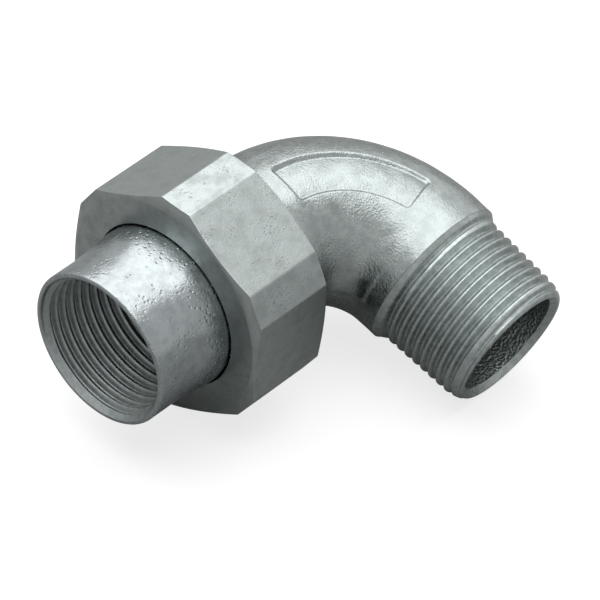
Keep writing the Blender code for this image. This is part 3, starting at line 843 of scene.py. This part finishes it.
class Bench:
    """Lays out the nodes of one metal finish. A grain is the size of a pattern in metres."""

    def __init__(self, name):
        self.material = bpy.data.materials.new(name)
        self.material.use_nodes = True
        self.tree = self.material.node_tree
        self.shader = self.tree.nodes["Principled BSDF"]
        self.shader.inputs["Metallic"].default_value = 1.0
        self.coordinates = self.tree.nodes.new("ShaderNodeTexCoord").outputs["Object"]

    def node(self, kind, output, inputs, **settings):
        return add_node(self.tree, kind, inputs, **settings).outputs[output]

    def stretched(self, vector, scale):
        """Coordinates stretched along the axes, so that a pattern is drawn out or flattened."""
        return self.node("ShaderNodeMapping", "Vector", {"Vector": vector, "Scale": scale})

    def rings(self, grain, centre):
        """Fine unevenness in rings round the axis through centre along X."""
        moved = self.node("ShaderNodeMapping", "Vector", {
            "Vector": self.coordinates, "Location": [-value for value in centre]})
        radius = self.node("ShaderNodeVectorMath", "Value", {
            0: self.stretched(moved, (0, 1, 1))}, operation="LENGTH")
        return self.node("ShaderNodeTexNoise", "Fac", {"W": radius, "Scale": 1 / grain},
                         noise_dimensions="1D")

    def times(self, first, second):
        return self.node("ShaderNodeMath", 0, {0: first, 1: second}, operation="MULTIPLY")

    def noise(self, grain, detail=2, roughness=0.5, vector=None):
        return self.node("ShaderNodeTexNoise", "Fac", {
            "Vector": vector or self.coordinates, "Scale": 1 / grain,
            "Detail": detail, "Roughness": roughness})

    def cells(self, grain, smoothness=0.6):
        return self.node("ShaderNodeTexVoronoi", "Distance", {
            "Vector": self.coordinates, "Scale": 1 / grain, "Smoothness": smoothness},
            feature="SMOOTH_F1")

    def ramp(self, value, low, high, to_low=0.0, to_high=1.0):
        return self.node("ShaderNodeMapRange", "Result", {
            "Value": value, "From Min": low, "From Max": high, "To Min": to_low,
            "To Max": to_high}, interpolation_type="SMOOTHSTEP")

    def color(self, share_of_light, dark, light):
        made = add_node(self.tree, "ShaderNodeMix", {"Factor": share_of_light}, data_type="RGBA")
        for socket, value in zip(color_sockets(made.inputs), (dark, light)):
            socket.default_value = (*value, 1)
        self.tree.links.new(color_sockets(made.outputs)[0], self.shader.inputs["Base Color"])

    def mottle(self, noise, dark, light):
        """Colour that wanders with a noise between two shades."""
        self.color(self.ramp(noise, *MOTTLED), dark, light)

    def gloss(self, noise, mean, least, most, span=SPREAD):
        """Roughness that wanders with a noise between two shares of its mean."""
        roughness = self.ramp(noise, *span, mean * least, mean * most)
        self.tree.links.new(roughness, self.shader.inputs["Roughness"])

    def bumps(self, layers):
        """Stack bumps, each given as its height from 0 to 1 and its real depth."""
        normal = None
        for height, depth in layers:
            inputs = {"Height": height, "Distance": depth}
            if normal:
                inputs["Normal"] = normal
            normal = self.node("ShaderNodeBump", "Normal", inputs)
        self.tree.links.new(normal, self.shader.inputs["Normal"])


def cast_finish(finish):
    """Bright plating over a fine, pebbly cast skin, pebblier in some places than in others."""
    bench = Bench("zinc_on_casting")
    patches = bench.ramp(bench.noise(0.009, detail=1), 0.35, 0.62, to_low=0.35)
    pebbles = bench.times(bench.cells(0.00034), patches)
    grain = bench.times(bench.noise(0.00019, detail=1), patches)
    swell = bench.noise(0.0030, detail=1)
    bench.mottle(bench.noise(0.0020, detail=4, roughness=0.6), finish.cast_dark, finish.cast_light)
    bench.gloss(bench.noise(0.0010, detail=3), finish.cast_roughness, 0.85, 1.25)
    bench.bumps([(swell, 0.00004), (pebbles, 0.00006), (grain, 0.00005)])
    return bench.material


def bore_finish_painted_pit_shade(finish):
    """Rough, sparkling casting inside the bend, painted darker in its pits as painted shade."""
    bench = Bench("zinc_in_bore_painted_pit_shade")
    pebbles = bench.cells(0.00048)
    grain = bench.noise(0.00026)
    # Darker where the pebbles' bump is low: painted shade in the pits.
    bench.color(bench.ramp(pebbles, 0.1, 0.6), finish.bore_pit_painted_shade, finish.bore_light)
    bench.gloss(grain, finish.bore_roughness, 0.75, 1.25)
    bench.bumps([(pebbles, 0.00010), (grain, 0.00005)])
    return bench.material


def thread_finish(finish):
    """Plating over turned metal and cut threads."""
    bench = Bench("zinc_on_thread")
    waves = bench.noise(0.0012)
    nicks = bench.noise(0.00045, roughness=0.6)
    grain = bench.noise(0.00018, detail=1)
    bench.mottle(bench.noise(0.0012, detail=3), finish.thread_dark, finish.thread_light)
    bench.gloss(nicks, finish.thread_roughness, 0.75, 1.3)
    bench.bumps([(waves, 0.000025), (nicks, 0.000014), (grain, 0.00001)])
    return bench.material


def nut_finish(finish):
    """Satin plating over machined flats, with dull blotches and a few dull specks."""
    bench = Bench("zinc_on_nut")
    blotches = bench.noise(0.0030, detail=4, roughness=0.6)
    specks = bench.times(bench.ramp(bench.noise(0.00036, detail=1), 0.56, 0.68),
                         bench.ramp(bench.noise(0.0034), 0.50, 0.64, to_low=0.12))
    clean = bench.ramp(specks, 0.0, 1.0, to_low=1.0, to_high=0.0)
    waves = bench.noise(0.0020, detail=1)
    grain = bench.noise(0.00030)
    bench.color(bench.times(bench.ramp(blotches, 0.3, 0.62, to_low=0.35), clean),
                finish.nut_dark, finish.nut_light)
    bench.gloss(blotches, finish.nut_roughness, 1.12, 0.9, span=MOTTLED)
    bench.bumps([(waves, 0.00002), (grain, 0.000022), (clean, 0.00003)])
    return bench.material


def nut_thread_finish(finish):
    """Plating on the nut's thread."""
    bench = Bench("zinc_in_nut")
    bench.mottle(bench.noise(0.0012, detail=3), finish.thread_dark, finish.thread_light)
    bench.gloss(bench.noise(0.0005), finish.thread_roughness, 0.8, 1.25)
    bench.bumps([(bench.noise(0.0006), 0.00002)])
    return bench.material


def hub_finish(finish):
    """Glossy plating with an orange peel, small pits in clusters and fine turning lines."""
    bench = Bench("zinc_on_hub")
    clusters = bench.ramp(bench.noise(0.0045), 0.42, 0.60)
    spots = bench.ramp(bench.cells(0.00085, smoothness=0.2), 0.12, 0.42, to_low=1.0, to_high=0.0)
    pits = bench.times(spots, clusters)
    waves = bench.noise(0.0035, detail=1)
    peel = bench.noise(0.00042, roughness=0.6)
    grain = bench.times(bench.noise(0.00019, detail=1), clusters)
    drawn_out = bench.stretched(bench.coordinates, (1.0, 0.03, 0.03))
    lines = bench.noise(0.00016, detail=1, vector=drawn_out)
    bench.mottle(bench.noise(0.0018, detail=4, roughness=0.6), finish.hub_dark, finish.hub_light)
    bench.gloss(bench.noise(0.0007, detail=3), finish.hub_roughness, 0.85, 1.25)
    bench.bumps([(waves, 0.00004), (peel, 0.000022), (grain, 0.00004), (lines, 0.00001),
                 (pits, -0.00006)])
    return bench.material


def socket_finish_painted_shade(finish):
    """Plating on the socket's thread and its countersink, darker than the hub's as painted shade
    inside the socket, with the rings that turning leaves.
    """
    bench = Bench("zinc_in_socket_painted_shade")
    place_x = bench.node("ShaderNodeSeparateXYZ", "X", {"Vector": bench.coordinates})
    fade = [HUB_LOW.x + depth for depth in MOUTH_RINGS]
    at_mouth = bench.ramp(place_x, *fade, to_low=1.0, to_high=0.0)
    rings = bench.times(bench.rings(0.00012, (0, 0, AXIS_HEIGHT)), at_mouth)
    waves = bench.noise(0.0008, detail=1)
    # Both shades are darker than the hub's plating: painted shade inside the socket.
    bench.mottle(bench.noise(0.0010, detail=3), finish.socket_dark_painted_shade, finish.socket_light_painted_shade)
    bench.gloss(bench.noise(0.0005), finish.socket_roughness, 0.85, 1.15)
    bench.bumps([(rings, 0.00004), (waves, 0.000008)])
    return bench.material


# Stage


def add_object(name, data):
    made = bpy.data.objects.new(name, data)
    bpy.context.scene.collection.objects.link(made)
    return made


def add_lamp(name, way, size, power):
    """Round area lamp in a direction from the union, facing it."""
    data = bpy.data.lights.new(name, "AREA")
    data.shape = "DISK"
    data.size = size
    data.energy = power
    lamp = add_object(name, data)
    lamp.location = LAMP_TARGET + way.normalized() * LAMP_DISTANCE
    lamp.rotation_euler = way.to_track_quat("Z", "Y").to_euler()


def seen(tree, in_metal):
    """1 where the camera looks straight at something, and a share of that in a reflection."""
    path = add_node(tree, "ShaderNodeLightPath", {}).outputs
    mirrored = add_node(tree, "ShaderNodeMath", {
        0: path["Is Glossy Ray"], 1: path["Is Transmission Ray"]}, operation="MAXIMUM")
    dimmed = add_node(tree, "ShaderNodeMath", {
        0: mirrored.outputs[0], 1: in_metal, 2: path["Is Camera Ray"]},
        operation="MULTIPLY_ADD")
    return dimmed.outputs[0]


def backdrop(studio):
    """White all round to the eye, a little less in the metal, and a weak fill as a light."""
    world = bpy.data.worlds.new("studio")
    bpy.context.scene.world = world
    world.use_nodes = True
    tree = world.node_tree
    strength = add_node(tree, "ShaderNodeMapRange", {
        "Value": seen(tree, studio.backdrop_in_metal), "To Min": studio.fill, "To Max": 1.0})
    background = tree.nodes["Background"].inputs
    background["Color"].default_value = (1, 1, 1, 1)
    tree.links.new(strength.outputs["Result"], background["Strength"])


def floor_material(studio):
    """Pale floor with a glow that makes it white where it is seen and takes no shadow away."""
    material = bpy.data.materials.new("floor")
    material.use_nodes = True
    tree = material.node_tree
    shader = tree.nodes["Principled BSDF"].inputs
    shader["Base Color"].default_value = (*studio.floor_color, 1)
    shader["Roughness"].default_value = 1.0
    shader["Specular IOR Level"].default_value = 0.0
    shader["Emission Color"].default_value = (1, 1, 1, 1)
    glow = add_node(tree, "ShaderNodeMath", {
        0: seen(tree, studio.floor_in_metal), 1: studio.floor_glow}, operation="MULTIPLY")
    tree.links.new(glow.outputs[0], shader["Emission Strength"])
    return material


def add_floor(studio):
    deselect_all()
    bpy.ops.mesh.primitive_plane_add(size=FLOOR_SIZE)
    floor = bpy.context.object
    floor.name = floor.data.name = "floor"
    floor.data.materials.append(floor_material(studio))


def add_camera(studio, crossing):
    """Camera that shows the crossing of the legs at its place in the picture."""
    forward = Vector((math.cos(studio.fall) * math.cos(studio.heading),
                      math.cos(studio.fall) * math.sin(studio.heading), -math.sin(studio.fall)))
    level = Vector((math.sin(studio.heading), -math.cos(studio.heading), 0))
    across = Matrix.Rotation(studio.roll, 3, -forward) @ level
    upward = across.cross(forward)
    data = bpy.data.cameras.new("camera")
    data.lens = studio.focal
    data.sensor_width = 36
    data.clip_end = 20
    camera = add_object("camera", data)
    spot = crossing - across * studio.right - upward * studio.up - forward * studio.distance
    turn = Matrix((across, upward, -forward)).transposed().to_4x4()
    camera.matrix_world = Matrix.Translation(spot) @ turn
    bpy.context.scene.camera = camera


# Operators and panel


class UNION_OT_elbow(bpy.types.Operator):
    """Model the cast elbow with its union thread and male thread"""
    bl_idname = "conduit.cast_elbow"
    bl_label = "Cast Elbow"

    def execute(self, context):
        elbow = build_elbow(context.scene.union_sizes, context.scene.union_finish)
        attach(elbow, "elbow")
        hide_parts("elbow_body")
        return {"FINISHED"}


class UNION_OT_nut(bpy.types.Operator):
    """Model the union nut with its flats, lip and thread"""
    bl_idname = "conduit.union_nut"
    bl_label = "Union Nut"

    def execute(self, context):
        nut = build_nut(context.scene.union_sizes, context.scene.union_finish)
        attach(nut, "nut")
        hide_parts("union_nut")
        return {"FINISHED"}


class UNION_OT_hub(bpy.types.Operator):
    """Model the hub with its threaded socket, collar and cone"""
    bl_idname = "conduit.socket_hub"
    bl_label = "Socket Hub"

    def execute(self, context):
        hub = build_hub(context.scene.union_sizes, context.scene.union_finish)
        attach(hub, "hub")
        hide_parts("female_hub")
        return {"FINISHED"}


class UNION_OT_studio(bpy.types.Operator):
    """Set the floor, backdrop, lamps and camera"""
    bl_idname = "conduit.studio"
    bl_label = "Studio"

    def execute(self, context):
        studio = context.scene.union_studio
        add_floor(studio)
        backdrop(studio)
        add_lamp("softbox", SOFTBOX_WAY, studio.softbox_size, studio.softbox_power)
        add_lamp("side_lamp", SIDE_LAMP_WAY, studio.side_size, studio.side_power)
        add_camera(studio, at_crossing(context.scene.union_sizes).translation)
        context.scene.view_settings.view_transform = "Standard"
        return {"FINISHED"}


class UNION_PT_panel(bpy.types.Panel):
    """Lists what can be built and changed"""
    bl_label = "Conduit Union"
    bl_idname = "UNION_PT_panel"
    bl_space_type = "VIEW_3D"
    bl_region_type = "UI"
    bl_category = "Conduit"

    def draw(self, context):
        for step in STEPS:
            self.layout.operator(step.bl_idname)
        scene = context.scene
        for group in (scene.union_sizes, scene.union_finish, scene.union_studio):
            box = self.layout.box()
            for name in group.__annotations__:
                box.prop(group, name)


STEPS = (UNION_OT_elbow, UNION_OT_nut, UNION_OT_hub, UNION_OT_studio)
CLASSES = (UnionSizes, UnionFinish, UnionStudio) + STEPS + (UNION_PT_panel,)


def register():
    for item in CLASSES:
        bpy.utils.register_class(item)
    bpy.types.Scene.union_sizes = PointerProperty(type=UnionSizes)
    bpy.types.Scene.union_finish = PointerProperty(type=UnionFinish)
    bpy.types.Scene.union_studio = PointerProperty(type=UnionStudio)


def unregister():
    del bpy.types.Scene.union_sizes
    del bpy.types.Scene.union_finish
    del bpy.types.Scene.union_studio
    for item in reversed(CLASSES):
        bpy.utils.unregister_class(item)


def main():
    register()
    bpy.ops.conduit.cast_elbow()
    bpy.ops.conduit.union_nut()
    bpy.ops.conduit.socket_hub()
    bpy.ops.conduit.studio()


if __name__ == "__main__":
    main()
